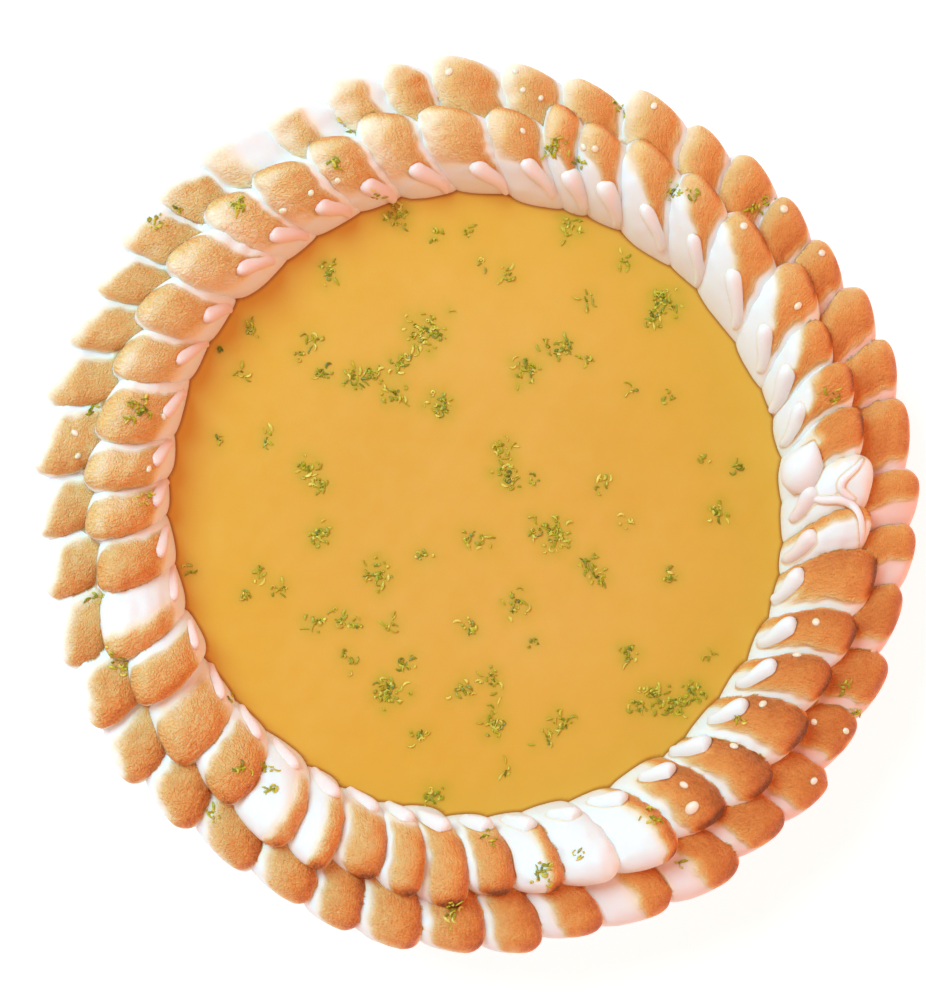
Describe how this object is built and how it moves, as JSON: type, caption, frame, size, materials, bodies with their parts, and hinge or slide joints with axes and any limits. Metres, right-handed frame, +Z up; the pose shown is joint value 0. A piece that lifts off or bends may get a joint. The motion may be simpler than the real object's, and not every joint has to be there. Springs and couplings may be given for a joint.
{
  "type": "lemon meringue pie",
  "caption": "Whole round lemon meringue pie in a plain tin, with a ring of piped, toasted meringue petals round a zest-flecked lemon filling.",
  "frame": {"origin": "centre of the flat base of the tin", "axes": "+Z up out of the pie; +X to the right and +Y to the top of the picture"},
  "size_m": [0.2609, 0.2619, 0.0518],
  "materials": {
    "tin": "satin",
    "crust": "matte",
    "filling": "satin",
    "meringue": "satin",
    "zest": "matte",
    "syrup": "gloss"
  },
  "bodies": {
    "root": {"tin": "tin", "crust": "crust", "filling": "filling", "meringue": "meringue"}
  },
  "joints": []
}
